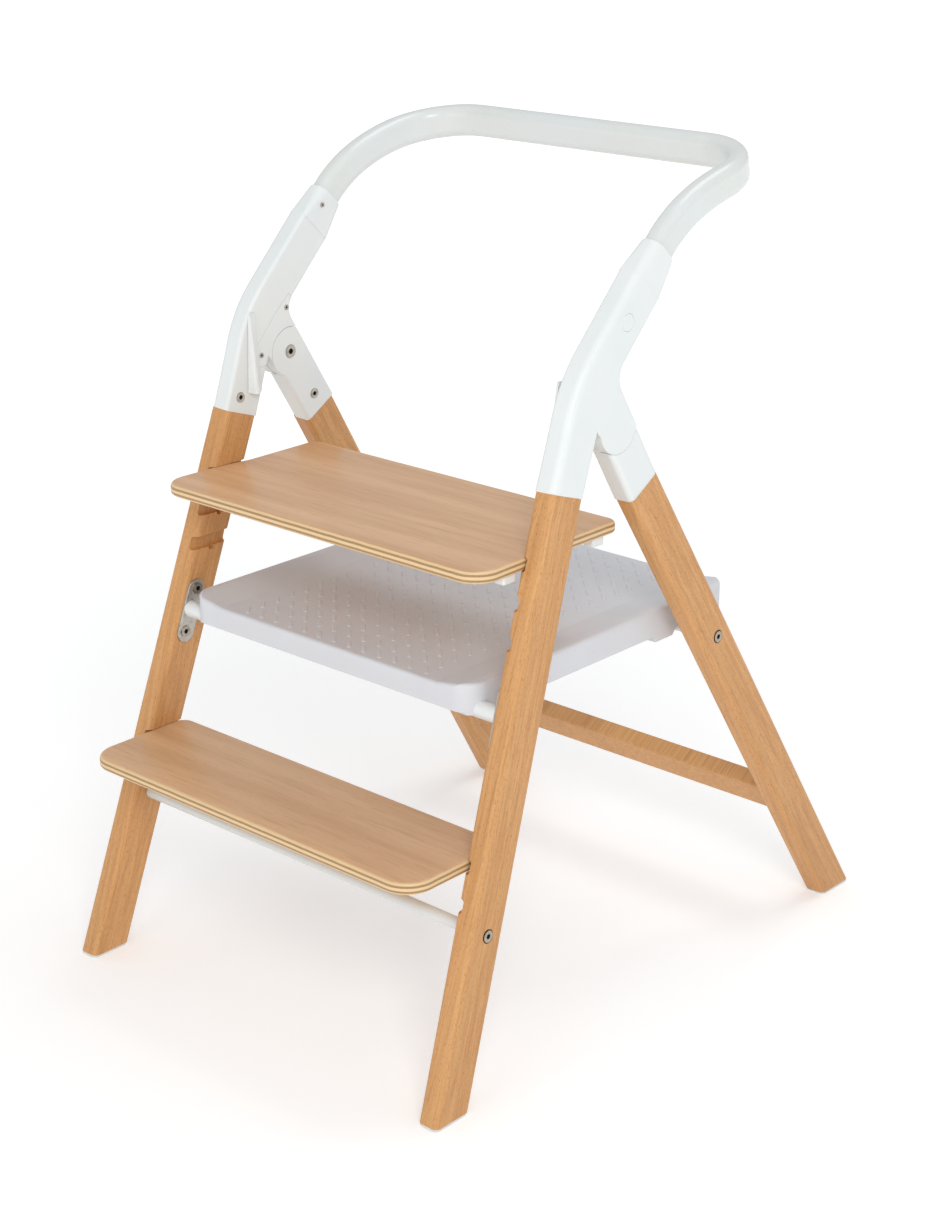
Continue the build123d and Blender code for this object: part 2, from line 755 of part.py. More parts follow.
# Levers: a wedge with a ridge, hung by an arm on a cross pin inside the connector
with BuildPart() as lever_right:
    for base, width, height, ridge_round in [
        (lever_low, lever_low_width, lever_low_height, lever_round),
        (lever_high, lever_high_width, lever_high_height, lever_round / 8),
    ]:
        with BuildSketch(Plane(origin=(lever_face, *base), x_dir=lever_across, z_dir=lever_up)):
            Polygon(
                (-width / 2, 0),
                (width / 2, 0),
                (-width / 2 + lever_ridge_offset * height / lever_low_height, height),
                align=None,
            )
            fillet(vertices().sort_by(Axis.Y)[-1], ridge_round)
    loft()
    with BuildSketch(lever_pin_plane):
        with Locations((-lever_pivot_depth / 2 - lever_gap, 0)):
            Rectangle(lever_pivot_depth + lever_gap, 2 * lever_arm_radius)
        Circle(lever_arm_radius)
    extrude(amount=lever_arm_width / 2, both=True)
    with BuildSketch(lever_pin_plane):
        Circle(lever_pin_radius + running_gap)
    extrude(amount=lever_arm_width, both=True, mode=Mode.SUBTRACT)

with BuildPart() as lever_left:
    mirror(lever_right.part, about=Plane.YZ)

with BuildPart() as lever_pins:
    with BuildSketch(lever_pin_plane):
        Circle(lever_pin_radius)
    extrude(amount=lever_pin_length / 2 - screw_gap, both=True)
    mirror(about=Plane.YZ)

# Seat board, slid into the top pair of grooves, with a waist that lets the rear legs fold past
seat_bottom_z = seat_groove_z - board_thickness / 2
with BuildPart() as seat:
    with BuildSketch(Plane.XY.offset(seat_bottom_z)):
        Polygon(
            (-seat_front_half, seat_front_y),
            (seat_front_half, seat_front_y),
            (seat_post_half, seat_waist_front_y),
            (seat_rear_half, seat_waist_rear_y),
            (seat_rear_half, seat_rear_y),
            (-seat_rear_half, seat_rear_y),
            (-seat_rear_half, seat_waist_rear_y),
            (-seat_post_half, seat_waist_front_y),
            align=None,
        )
        waist = vertices().group_by(Axis.Y)[1] + vertices().group_by(Axis.Y)[2]
        fillet(waist, seat_waist_round)
        fillet(vertices().group_by(Axis.Y)[0], seat_front_corner)
        fillet(vertices().group_by(Axis.Y)[-1], seat_rear_corner)
    extrude(amount=board_thickness)
    fillet(edges().group_by(Axis.Z)[0], board_edge_radius)
    fillet(edges().group_by(Axis.Z)[-1], board_edge_radius)

# Stops under the seat board: one pair against the posts, one pair at the rear corners
post_front_at_seat = (
    post_foot_y
    + (seat_bottom_z - stop_height) / cos(radians(splay)) * tan(radians(post_lean))
    - half_depth / cos(radians(post_lean))
)
front_stop_y = post_front_at_seat - front_stop_gap - stop_length / 2
stop_points = [
    (seat_post_half - board_edge_radius - stop_width / 2, front_stop_y),
    (seat_rear_half - board_edge_radius - stop_width / 2, rear_stop_y),
]
with BuildPart() as seat_stops:
    with BuildSketch(Plane.XY.offset(seat_bottom_z)):
        with Locations(*stop_points):
            Rectangle(stop_width, stop_length)
        fillet(vertices(), stop_round)
    extrude(amount=-stop_height)
    fillet(edges().group_by(Axis.Z)[0], stop_round / 2)
    mirror(about=Plane.YZ)

# Step board in the upper of the low grooves
step_bottom_z = step_groove_z - board_thickness / 2
with BuildPart() as step:
    with BuildSketch(Plane.XY.offset(step_bottom_z)):
        with Locations((0, (step_front_y + step_rear_y) / 2)):
            Rectangle(2 * step_half, step_rear_y - step_front_y)
        fillet(vertices().group_by(Axis.Y)[0], step_front_corner)
        fillet(vertices().group_by(Axis.Y)[-1], step_rear_corner)
    extrude(amount=board_thickness)
    fillet(edges().group_by(Axis.Z)[0], board_edge_radius)
    fillet(edges().group_by(Axis.Z)[-1], board_edge_radius)


# Round rod between two wood inner faces with a threaded hole in each end.
def rod_between(y, z):
    half_length = wood_inner(z + rod_radius) - seat_gap / 2
    with BuildSketch(Plane.YZ) as section:
        with Locations((y, z)):
            Circle(rod_radius)
    extrude(section.sketch, amount=half_length, both=True)
    for way in (-1, 1):
        hole_x(way * (half_length - bolt_length), way * half_length, y, z, bolt_shank_radius + screw_gap)


# Pair of bolts through both wood outer faces into a rod.
def rod_bolts(y, z):
    head_x = wood_outer(z) + bolt_head_proud
    fastener(head_x, y, z, bolt_head_radius, bolt_head_height, bolt_shank_radius, bolt_length, -1)


with BuildPart() as tie_rod:
    rod_between(tie_rod_y, tie_rod_z)

with BuildPart() as tie_bolts:
    rod_bolts(tie_rod_y, tie_rod_z)
    mirror(about=Plane.YZ)

with BuildPart() as rear_rod:
    rod_between(rear_rod_y, rear_rod_z)

with BuildPart() as rear_bolts:
    rod_bolts(rear_rod_y, rear_rod_z)
    mirror(about=Plane.YZ)

# Crossbar, in line with the rear legs and held by dowels
crossbar_start = crossbar_run - crossbar_height / 2
crossbar_end = crossbar_run + crossbar_height / 2
with BuildPart() as crossbar:
    with BuildSketch(Plane.YZ):
        Polygon(
            bar_side(leg_foot_y, -leg_lean, crossbar_start, -crossbar_thickness / 2),
            bar_side(leg_foot_y, -leg_lean, crossbar_start, crossbar_thickness / 2),
            bar_side(leg_foot_y, -leg_lean, crossbar_end, crossbar_thickness / 2),
            bar_side(leg_foot_y, -leg_lean, crossbar_end, -crossbar_thickness / 2),
            align=None,
        )
    extrude(amount=floor_half_width, both=True)
    fillet(edges().filter_by(Axis.X), crossbar_round)
    split(bisect_by=side.offset(-wood_thickness), keep=Keep.BOTTOM)
    split(bisect_by=side_left.offset(-wood_thickness), keep=Keep.BOTTOM)
    for dowel_y, dowel_z in dowel_points:
        dowel_face = wood_inner(dowel_z)
        hole_x(dowel_face - dowel_length / 2, dowel_face + 2, dowel_y, dowel_z, dowel_radius)
        hole_x(dowel_length / 2 - dowel_face, -dowel_face - 2, dowel_y, dowel_z, dowel_radius)

with BuildPart() as dowels:
    for dowel_y, dowel_z in dowel_points:
        with BuildSketch(Plane.YZ.offset(wood_inner(dowel_z) - dowel_length / 2 + seat_gap)):
            with Locations((dowel_y, dowel_z)):
                Circle(dowel_radius - running_gap)
        extrude(amount=dowel_length - 2 * seat_gap)
    mirror(about=Plane.YZ)

# Platform: a tray top with raised side rims, hollow below, with ribs, pin bearings and rod saddles
platform_middle_y = (platform_front_y + platform_rear_y) / 2
platform_length = platform_rear_y - platform_front_y
cavity_top_z = platform_panel_z - platform_skin
rod_room = rod_radius + seat_gap
saddle_x = platform_half - saddle_width / 2
ramp_along = (-cos(radians(saddle_ramp)), -sin(radians(saddle_ramp)))
ramp_start = (
    rear_rod_y - rod_room * sin(radians(saddle_ramp)),
    rear_rod_z + rod_room * cos(radians(saddle_ramp)),
)
ramp_end = (ramp_start[0] + saddle_depth * ramp_along[0], ramp_start[1] + saddle_depth * ramp_along[1])


with BuildPart() as platform_section:
    with BuildSketch(Plane.XZ.offset(-platform_rear_y)):
        Polygon(
            (-platform_half, platform_bottom_z),
            (-platform_half, platform_rim_z),
            (-rim_half, platform_rim_z),
            (-panel_half, platform_panel_z),
            (panel_half, platform_panel_z),
            (rim_half, platform_rim_z),
            (platform_half, platform_rim_z),
            (platform_half, platform_bottom_z),
            align=None,
        )
    extrude(amount=platform_length)
    end_edges = edges().group_by(Axis.Y)[0] + edges().group_by(Axis.Y)[-1]
    fillet(end_edges.filter_by_position(Axis.Z, platform_panel_z - 1, platform_rim_z + 1), platform_edge)

with BuildPart() as platform:
    with BuildSketch(Plane.XY.offset(platform_bottom_z)):
        with Locations((0, platform_middle_y)):
            RectangleRounded(2 * platform_half, platform_length, platform_corner)
    extrude(amount=platform_rim_z - platform_bottom_z)
    fillet(edges().group_by(Axis.Z)[-1], platform_edge)
    add(platform_section.part, mode=Mode.INTERSECT)
    with BuildSketch(Plane.XY.offset(platform_bottom_z)):
        with Locations((0, platform_middle_y)):
            RectangleRounded(
                2 * (platform_half - platform_wall),
                platform_length - 2 * platform_wall,
                platform_corner - platform_wall,
            )
    extrude(amount=cavity_top_z - platform_bottom_z, mode=Mode.SUBTRACT)
    with BuildSketch(Plane.XY.offset(rib_bottom_z)):
        with Locations(*[(0, rib_y) for rib_y in cross_rib_y]):
            Rectangle(2 * platform_half - platform_wall, rib_thickness)
        with Locations(*[(rib_x, platform_middle_y) for rib_x in long_rib_x]):
            Rectangle(rib_thickness, platform_length - platform_wall)
    extrude(amount=platform_panel_z - platform_skin / 2 - rib_bottom_z)
    with BuildSketch(Plane.XY.offset(platform_bottom_z - bearing_drop)):
        with Locations((0, platform_middle_y)):
            RectangleRounded(2 * platform_half, platform_length, platform_corner)
        with Locations(
            (platform_half - bearing_length / 2, pin_y), (bearing_length / 2 - platform_half, pin_y)
        ):
            Rectangle(bearing_length, bearing_width, mode=Mode.INTERSECT)
    extrude(amount=platform_panel_z - platform_skin / 2 - platform_bottom_z + bearing_drop)
    with BuildSketch(Plane.XY.offset(saddle_bottom_z)):
        with Locations(
            (saddle_x, (saddle_front_y + saddle_rear_y) / 2),
            (-saddle_x, (saddle_front_y + saddle_rear_y) / 2),
        ):
            Rectangle(saddle_width, saddle_rear_y - saddle_front_y)
    extrude(amount=platform_panel_z - platform_skin / 2 - saddle_bottom_z)
    with BuildSketch(Plane.YZ):
        with Locations((rear_rod_y, rear_rod_z)):
            Circle(rod_room)
        Polygon(
            ramp_start,
            ramp_end,
            (rear_rod_y + rod_room, ramp_end[1]),
            (rear_rod_y + rod_room, rear_rod_z),
            (rear_rod_y, rear_rod_z),
            align=None,
        )
    extrude(amount=platform_half, both=True, mode=Mode.SUBTRACT)
    with BuildSketch(Plane.YZ):
        with Locations((pin_y, pin_z)):
            Circle(pin_radius + running_gap)
    extrude(amount=platform_half, both=True, mode=Mode.SUBTRACT)

# Pivot plates on the posts' inner faces, with the pins the platform turns on
with BuildPart() as plate_right:
    with BuildSketch(side.offset(-wood_thickness)):
        with Locations((plate_y, plate_z / cos(radians(splay)))):
            SlotOverall(plate_length, plate_width, rotation=90 - post_lean)
    extrude(amount=-plate_thickness)
    fillet(faces().sort_by(Axis(side.origin, side.z_dir))[0].edges(), plate_edge)
    for screw_y, screw_z in plate_screws:
        screw_face = wood_inner(screw_z)
        seat_x = screw_face - plate_thickness - plate_screw_proud + plate_screw_height
        hole_x(screw_face - 9, seat_x, screw_y, screw_z, plate_screw_radius + screw_gap)
        hole_x(screw_face - 9, screw_face + 2, screw_y, screw_z, screw_shank_radius + screw_gap)

with BuildPart() as plate_left:
    mirror(plate_right.part, about=Plane.YZ)

with BuildPart() as plate_screw_set:
    for screw_y, screw_z in plate_screws:
        fastener(
            wood_inner(screw_z) - plate_thickness - plate_screw_proud,
            screw_y,
            screw_z,
            plate_screw_radius,
            plate_screw_height,
            screw_shank_radius,
            screw_length,
            1,
        )
    mirror(about=Plane.YZ)

with BuildPart() as pivot_pins:
    with BuildSketch(Plane.YZ.offset(platform_half - bearing_length)):
        with Locations((pin_y, pin_z)):
            Circle(pin_radius)
    extrude(amount=floor_half_width - platform_half)
    split(bisect_by=side.offset(-wood_thickness - plate_thickness), keep=Keep.BOTTOM)
    mirror(about=Plane.YZ)

# Each node under its own name
nodes = {
    "front_post_left": post_left,
    "front_post_right": post_right,
    "rear_leg_left": leg_left,
    "rear_leg_right": leg_right,
    "front_foot_pads": front_pads,
    "rear_foot_pads": rear_pads,
    "connector_left": connector_left,
    "connector_right": connector_right,
    "hinge_cover_left": cover_left,
    "hinge_cover_right": cover_right,
    "leg_cap_left": cap_left,
    "leg_cap_right": cap_right,
    "hoop_collar_left": collar_left,
    "hoop_collar_right": collar_right,
    "hoop_rail": hoop,
    "outer_plugs": plugs,
    "hinge_bolts": hinge_bolts,
    "cap_screws": cap_screws,
    "post_screws": post_screws,
    "cover_screws": cover_screw_set,
    "collar_screws": collar_screws,
    "lever_left": lever_left,
    "lever_right": lever_right,
    "lever_pins": lever_pins,
    "seat_board": seat,
    "seat_stops": seat_stops,
    "step_board": step,
    "tie_rod": tie_rod,
    "tie_rod_bolts": tie_bolts,
    "rear_rod": rear_rod,
    "rear_rod_bolts": rear_bolts,
    "rear_crossbar": crossbar,
    "crossbar_dowels": dowels,
    "platform": platform,
    "pivot_plate_left": plate_left,
    "pivot_plate_right": plate_right,
    "plate_screws": plate_screw_set,
    "pivot_pins": pivot_pins,
}
for name, node in nodes.items():
    node.part.label = name
    export_step(node.part, f"parts/{name}.step")
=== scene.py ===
import math

import bpy
import numpy as np
from mathutils import Matrix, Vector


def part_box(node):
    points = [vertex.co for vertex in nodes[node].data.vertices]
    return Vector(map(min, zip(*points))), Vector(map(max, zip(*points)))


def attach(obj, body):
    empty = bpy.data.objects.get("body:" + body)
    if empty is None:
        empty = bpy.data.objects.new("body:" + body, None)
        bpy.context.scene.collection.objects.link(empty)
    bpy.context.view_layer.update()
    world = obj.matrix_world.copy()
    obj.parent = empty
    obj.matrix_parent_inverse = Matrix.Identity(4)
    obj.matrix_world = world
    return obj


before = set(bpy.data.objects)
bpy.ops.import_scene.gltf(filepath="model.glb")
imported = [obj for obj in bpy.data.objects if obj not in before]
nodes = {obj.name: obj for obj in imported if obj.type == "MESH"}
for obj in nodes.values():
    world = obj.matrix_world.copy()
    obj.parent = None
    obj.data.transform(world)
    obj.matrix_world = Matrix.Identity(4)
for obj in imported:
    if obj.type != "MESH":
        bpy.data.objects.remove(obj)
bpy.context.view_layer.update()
print("stage: frame loaded,", len(nodes), "nodes")


class Sock:  # one node output that can be used in sums
    def __init__(self, shade, out):
        self.shade = shade
        self.out = out

    def join(self, kind, first, second):
        return self.shade.node("ShaderNodeMath", {"operation": kind}, {0: first, 1: second})

    def __add__(self, other):
        return self.join("ADD", self, other)

    def __radd__(self, other):
        return self.join("ADD", other, self)

    def __sub__(self, other):
        return self.join("SUBTRACT", self, other)

    def __rsub__(self, other):
        return self.join("SUBTRACT", other, self)

    def __mul__(self, other):
        return self.join("MULTIPLY", self, other)

    def __rmul__(self, other):
        return self.join("MULTIPLY", other, self)

    def __truediv__(self, other):
        return self.join("DIVIDE", self, other)

    def __rtruediv__(self, other):
        return self.join("DIVIDE", other, self)

    def __gt__(self, other):
        return self.join("GREATER_THAN", self, other)

    def __lt__(self, other):
        return self.join("LESS_THAN", self, other)


class Shade:  # a material and its nodes
    def __init__(self, name, constants):
        self.material = bpy.data.materials.new(name)
        self.material.use_nodes = True
        self.tree = self.material.node_tree
        self.surface = self.tree.nodes["Principled BSDF"]
        for label, value in constants.items():
            self.surface.inputs[label].default_value = value

    def node(self, kind, settings=None, inputs=None, out=0):
        made = self.tree.nodes.new(kind)
        for label, value in (settings or {}).items():
            setattr(made, label, value)
        for label, value in (inputs or {}).items():
            if isinstance(value, Sock):
                self.tree.links.new(value.out, made.inputs[label])
            else:
                made.inputs[label].default_value = value
        return Sock(self, made.outputs[out])

    def feed(self, label, value):
        self.tree.links.new(value.out, self.surface.inputs[label])

    def place(self):  # the piece's own coordinates, in metres
        return self.node("ShaderNodeTexCoord", out=3)

    def dot(self, vector, axis):
        return self.node("ShaderNodeVectorMath", {"operation": "DOT_PRODUCT"}, {0: vector, 1: axis}, out=1)

    def noise(self, vector, scale=1.0, detail=2.0, rough=0.5):
        inputs = {"Vector": vector, "Scale": scale, "Detail": detail, "Roughness": rough}
        return self.node("ShaderNodeTexNoise", None, inputs)

    def grain(self, run, width, thick, turns, detail=2.0, rough=0.5):  # turns per metre along, across, deep
        stretched = {0: run * turns[0], 1: width * turns[1], 2: thick * turns[2]}
        return self.noise(self.node("ShaderNodeCombineXYZ", None, stretched), detail=detail, rough=rough)

    def remap(self, value, low, high, toLow=0.0, toHigh=1.0):
        inputs = {0: value, 1: low, 2: high, 3: toLow, 4: toHigh}
        return self.node("ShaderNodeMapRange", {"interpolation_type": "SMOOTHSTEP"}, inputs)

    def blend(self, share, first, second):
        return self.node("ShaderNodeMix", {"data_type": "RGBA"}, {0: share, 6: first, 7: second}, out=2)

    def bump(self, height, strength, distance):
        inputs = {"Strength": strength, "Distance": distance, "Height": height}
        self.feed("Normal", self.node("ShaderNodeBump", None, inputs))


def tone(red, green, blue):  # a screen colour of 0 to 255 as linear light
    parts = []
    for part in (red, green, blue):
        share = part / 255
        parts.append(share / 12.92 if share <= 0.04045 else ((share + 0.055) / 1.055) ** 2.4)
    return (*parts, 1.0)


# beech posts, legs and crossbar
beechSettings = {
    "pale": tone(214, 161, 104),
    "mid": tone(201, 147, 91),
    "deep": tone(178, 123, 72),
    "fleck": tone(150, 98, 56),
    "broadShare": 0.3,
    "fineShare": 0.55,
    "fleckShare": 0.5,
    "plankOffset": 0.37,
    "sway": {"turns": (3, 9, 9), "detail": 1.0},
    "swayReach": 0.012,
    "streaks": {"turns": (2.2, 170, 170), "detail": 4.0, "rough": 0.62},
    "streakStep": (0.33, 0.68),
    "broad": {"turns": (1.6, 22, 22), "detail": 2.0},
    "broadStep": (0.46, 0.78),
    "fine": {"turns": (14, 520, 520), "detail": 3.0, "rough": 0.6},
    "fineStep": (0.44, 0.72),
    "flecks": {"turns": (260, 1500, 1500), "detail": 1.0},
    "fleckStep": (0.58, 0.7),
    "gloss": 0.42,
    "fineGloss": 0.16,
    "fleckGloss": 0.1,
    "fineRise": 0.6,
    "fleckSink": 0.5,
    "bumpStrength": 0.25,
    "relief": 0.0004,
    "postLean": 18.9,
    "legLean": -31.6,
    "postShift": 3.7,
    "legShift": 5.3,
}


def beech(name, along, across, sideShift):
    wood = beechSettings
    shade = Shade(name, {"Specular IOR Level": 0.4, "Coat Weight": 0.12, "Coat Roughness": 0.3})
    place = shade.place()
    side = shade.dot(place, (1, 0, 0))
    shift = (side > 0.0) * sideShift  # the piece at positive X comes from another plank
    run = shade.dot(place, along) + shift
    width = shade.dot(place, across) + shift * wood["plankOffset"]
    thick = side + shift
    sway = shade.grain(run, width, thick, **wood["sway"]) * wood["swayReach"]
    streaks = shade.grain(run, width + sway, thick + sway, **wood["streaks"])
    broad = shade.grain(run, width, thick, **wood["broad"])
    fine = shade.grain(run, width + sway, thick + sway, **wood["fine"])
    flecks = shade.remap(shade.grain(run, width, thick, **wood["flecks"]), *wood["fleckStep"])
    colour = shade.blend(shade.remap(streaks, *wood["streakStep"]), wood["pale"], wood["mid"])
    colour = shade.blend(shade.remap(broad, *wood["broadStep"]) * wood["broadShare"], colour, wood["deep"])
    colour = shade.blend(shade.remap(fine, *wood["fineStep"]) * wood["fineShare"], colour, wood["deep"])
    shade.feed("Base Color", shade.blend(flecks * wood["fleckShare"], colour, wood["fleck"]))
    shade.feed("Roughness", wood["gloss"] + fine * wood["fineGloss"] + flecks * wood["fleckGloss"])
    shade.bump(fine * wood["fineRise"] - flecks * wood["fleckSink"], wood["bumpStrength"], wood["relief"])
    return shade.material


def leanAxes(degrees):  # along and across a bar that leans back by these degrees
    turn = math.radians(degrees)
    return (0, math.sin(turn), math.cos(turn)), (0, math.cos(turn), -math.sin(turn))


postBeech = beech("postBeech", *leanAxes(beechSettings["postLean"]), beechSettings["postShift"])
legBeech = beech("legBeech", *leanAxes(beechSettings["legLean"]), beechSettings["legShift"])
barBeech = beech("barBeech", (1, 0, 0), leanAxes(beechSettings["legLean"])[0], 0.0)
print("stage: beech made")

# plywood boards
plySettings = {
    "light": tone(228, 203, 156),
    "dark": tone(156, 114, 72),
    "line": tone(122, 84, 50),
    "plies": 5,
    "thickness": 0.013,
    "sway": {"turns": (2.5, 7, 7), "detail": 1.5},
    "swayReach": 0.02,
    "figure": {"turns": (1.9, 34, 200), "detail": 4.0, "rough": 0.6},
    "figureSway": 2.2,
    "figureStep": (0.36, 0.7),
    "pores": {"turns": (26, 900, 900)},
    "poreStep": (0.52, 0.8),
    "poreShare": 0.4,
    "flecks": {"turns": (120, 950, 950)},
    "fleckStep": (0.63, 0.74),
    "fleckShare": 0.3,
    "ripple": {"turns": (60, 60, 40)},
    "rippleReach": 0.24,
    "endGrain": {"turns": (420, 420, 900)},
    "lightMottle": 0.35,
    "darkShare": 0.75,
    "darkMottle": 0.3,
    "darkStep": (0.56, 0.64),
    "upperGlue": (0.9, 0.97),
    "lowerGlue": (0.1, 0.03),
    "glueShare": 0.25,
    "edgeMargin": 0.3,
    "edgeStep": (0.96, 0.8),
    "gloss": 0.33,
    "poreGloss": 0.14,
    "edgeGloss": 0.18,
    "poreRise": 0.5,
    "edgeRise": 0.5,
    "bumpStrength": 0.22,
    "relief": 0.0004,
}


def plywood(name, board, seed, face, faceDeep):
    ply = plySettings
    shade = Shade(name, {"Specular IOR Level": 0.45, "Coat Weight": 0.3, "Coat Roughness": 0.22})
    place = shade.place()
    run = shade.dot(place, (1, 0, 0)) + seed
    depth = shade.dot(place, (0, 1, 0))
    height = shade.dot(place, (0, 0, 1))
    sway = shade.grain(run, depth, height, **ply["sway"]) * ply["swayReach"]
    figure = shade.grain(run, depth + sway * ply["figureSway"], height, **ply["figure"])
    pores = shade.grain(run, depth + sway, height, **ply["pores"])
    flecks = shade.remap(shade.grain(run, depth, height, **ply["flecks"]), *ply["fleckStep"])
    endGrain = shade.grain(run, depth, height, **ply["endGrain"])
    ripple = (shade.grain(run, depth, height, **ply["ripple"]) - 0.5) * ply["rippleReach"]
    # Layer number = height above the board's underside, over one layer's thickness
    layer = (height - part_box(board)[0].z) / (ply["thickness"] / ply["plies"]) + ripple
    part = shade.node("ShaderNodeMath", {"operation": "FRACT"}, {0: layer})
    odd = shade.node("ShaderNodeMath", {"operation": "PINGPONG"}, {0: layer - 0.5, 1: 1.0})
    crossPly = shade.remap(odd, *ply["darkStep"])
    glueLine = shade.remap(part, *ply["upperGlue"]) + shade.remap(part, *ply["lowerGlue"])
    within = (layer > ply["edgeMargin"]) * (layer < ply["plies"] - ply["edgeMargin"])
    top = shade.blend(shade.remap(figure, *ply["figureStep"]), face, faceDeep)
    marks = shade.remap(pores, *ply["poreStep"]) * ply["poreShare"] + flecks * ply["fleckShare"]
    top = shade.blend(marks, top, ply["dark"])
    edge = shade.blend(endGrain * ply["lightMottle"], ply["light"], faceDeep)
    edge = shade.blend(crossPly * (ply["darkShare"] + endGrain * ply["darkMottle"]), edge, ply["dark"])
    edge = shade.blend(glueLine * ply["glueShare"], edge, ply["line"])
    normal = shade.node("ShaderNodeNewGeometry", out=1)
    upright = shade.node("ShaderNodeMath", {"operation": "ABSOLUTE"}, {0: shade.dot(normal, (0, 0, 1))})
    edgeShare = shade.remap(upright, *ply["edgeStep"]) * within
    shade.feed("Base Color", shade.blend(edgeShare, top, edge))
    shade.feed("Roughness", ply["gloss"] + pores * ply["poreGloss"] + edgeShare * ply["edgeGloss"])
    rise = pores * ply["poreRise"] + edgeShare * crossPly * ply["edgeRise"]
    shade.bump(rise, ply["bumpStrength"], ply["relief"])
    return shade.material


seatPly = plywood("seatPly", "seat_board", 0.4, tone(218, 174, 131), tone(203, 155, 113))
# painted light: the step's face tones are set lighter than the seat's to brighten the step, which lies in
# the seat's shade
stepPly = plywood("stepPly", "step_board", 4.9, tone(225, 181, 137), tone(211, 163, 119))
print("stage: plywood made")

# white plastics and painted tube
plasticSettings = {
    "warm": tone(223, 225, 221),
    "cool": tone(217, 223, 227),
    "cloudTurns": 14.0,
    "cloudStep": (0.35, 0.7),
    "cloudShare": 0.35,
    "speckTurns": 380.0,
    "speckStep": (0.55, 0.8),
    "speckShare": 0.25,
    "sparkGloss": 0.14,
    "cloudGloss": 0.05,
    "speckRise": 0.4,
    "bumpStrength": 0.12,
    "relief": 0.00025,
}


def plastic(name, body, grainTurns, roughness, clear=0.0):
    white = plasticSettings
    shade = Shade(name, {"Specular IOR Level": 0.45, "Coat Weight": clear, "Coat Roughness": 0.12})
    place = shade.place()
    cloud = shade.noise(place, white["cloudTurns"], 3.0)
    spark = shade.noise(place, grainTurns, 2.0, 0.6)
    speck = shade.noise(place, white["speckTurns"], 3.0)
    cloudShare = shade.remap(cloud, *white["cloudStep"]) * white["cloudShare"]
    speckShare = shade.remap(speck, *white["speckStep"]) * white["speckShare"]
    colour = shade.blend(cloudShare, body, white["cool"])
    shade.feed("Base Color", shade.blend(speckShare, colour, white["warm"]))
    shade.feed("Roughness", roughness + spark * white["sparkGloss"] + cloud * white["cloudGloss"])
    shade.bump(spark + speck * white["speckRise"], white["bumpStrength"], white["relief"])
    return shade.material


shellWhite = plastic("shellWhite", tone(227, 231, 230), grainTurns=1500.0, roughness=0.34)
partWhite = plastic("partWhite", tone(227, 230, 229), grainTurns=1100.0, roughness=0.3)
tubeWhite = plastic("tubeWhite", tone(216, 220, 217), grainTurns=700.0, roughness=0.2, clear=0.35)
padWhite = plastic("padWhite", tone(221, 222, 220), grainTurns=2200.0, roughness=0.5)
trayWhite = plastic("trayWhite", tone(211, 212, 217), grainTurns=1300.0, roughness=0.42)

# screws, bolts and plates
metalSettings = {
    "scratchTurns": 900,
    "stainTurns": 260.0,
    "stainStep": (0.4, 0.75),
    "stainShare": 0.6,
    "scratchGloss": 0.22,
    "bumpStrength": 0.15,
    "relief": 0.00015,
}


def metal(name, body, shadow, roughness, sideTurns):
    steel = metalSettings
    shade = Shade(name, {"Metallic": 1.0})
    place = shade.place()
    side, depth, height = [shade.dot(place, axis) for axis in ((1, 0, 0), (0, 1, 0), (0, 0, 1))]
    turns = (sideTurns, steel["scratchTurns"], steel["scratchTurns"])
    scratch = shade.grain(side, depth, height, turns, detail=3.0, rough=0.7)
    stain = shade.noise(place, steel["stainTurns"], 3.0)
    stainShare = shade.remap(stain, *steel["stainStep"]) * steel["stainShare"]
    shade.feed("Base Color", shade.blend(stainShare, body, shadow))
    shade.feed("Roughness", roughness + scratch * steel["scratchGloss"])
    shade.bump(scratch, steel["bumpStrength"], steel["relief"])
    return shade.material


nickel = metal("nickel", tone(178, 170, 158), tone(122, 115, 104), roughness=0.2, sideTurns=900.0)
satinSteel = metal("satinSteel", tone(196, 194, 188), tone(160, 157, 150), roughness=0.36, sideTurns=40.0)
# painted shade: this near-black finish is for the socket plates, which stand in for the shade inside the
# screw sockets
socketPaintedShade = metal("socketPaintedShade", tone(38, 35, 32), tone(22, 20, 19), roughness=0.5, sideTurns=300.0)
print("stage: plastics and metals made")

finishes = {
    postBeech: ["front_post_left", "front_post_right"],
    legBeech: ["rear_leg_left", "rear_leg_right"],
    barBeech: ["rear_crossbar", "crossbar_dowels"],
    seatPly: ["seat_board"],
    stepPly: ["step_board"],
    shellWhite: ["connector_left", "connector_right", "hinge_cover_left", "hinge_cover_right"]
    + ["leg_cap_left", "leg_cap_right", "hoop_collar_left", "hoop_collar_right", "outer_plugs"],
    partWhite: ["lever_left", "lever_right", "lever_pins", "seat_stops", "pivot_pins"],
    tubeWhite: ["hoop_rail", "tie_rod", "rear_rod"],
    padWhite: ["front_foot_pads", "rear_foot_pads"],
    trayWhite: ["platform"],
    nickel: ["hinge_bolts", "cap_screws", "post_screws", "cover_screws", "collar_screws"]
    + ["tie_rod_bolts", "rear_rod_bolts", "plate_screws"],
    satinSteel: ["pivot_plate_left", "pivot_plate_right"],
}
for finish, names in finishes.items():
    for name in names:
        nodes[name].data.materials.clear()
        nodes[name].data.materials.append(finish)
print("stage: finishes assigned")


# one piece of several like parts: each part has its own points, and all share one list of faces
def meshPiece(name, pointSets, oneQuads, smooth, finish, body):
    starts = np.arange(len(pointSets)) * pointSets.shape[1]
    quads = (oneQuads[None, :, :] + starts[:, None, None]).reshape(-1, 4)
    mesh = bpy.data.meshes.new(name)
    mesh.from_pydata(pointSets.reshape(-1, 3).tolist(), [], quads.tolist())
    mesh.polygons.foreach_set("use_smooth", np.full(len(mesh.polygons), smooth))
    mesh.materials.append(finish)
    piece = bpy.data.objects.new(name, mesh)
    bpy.context.scene.collection.objects.link(piece)
    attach(piece, body)


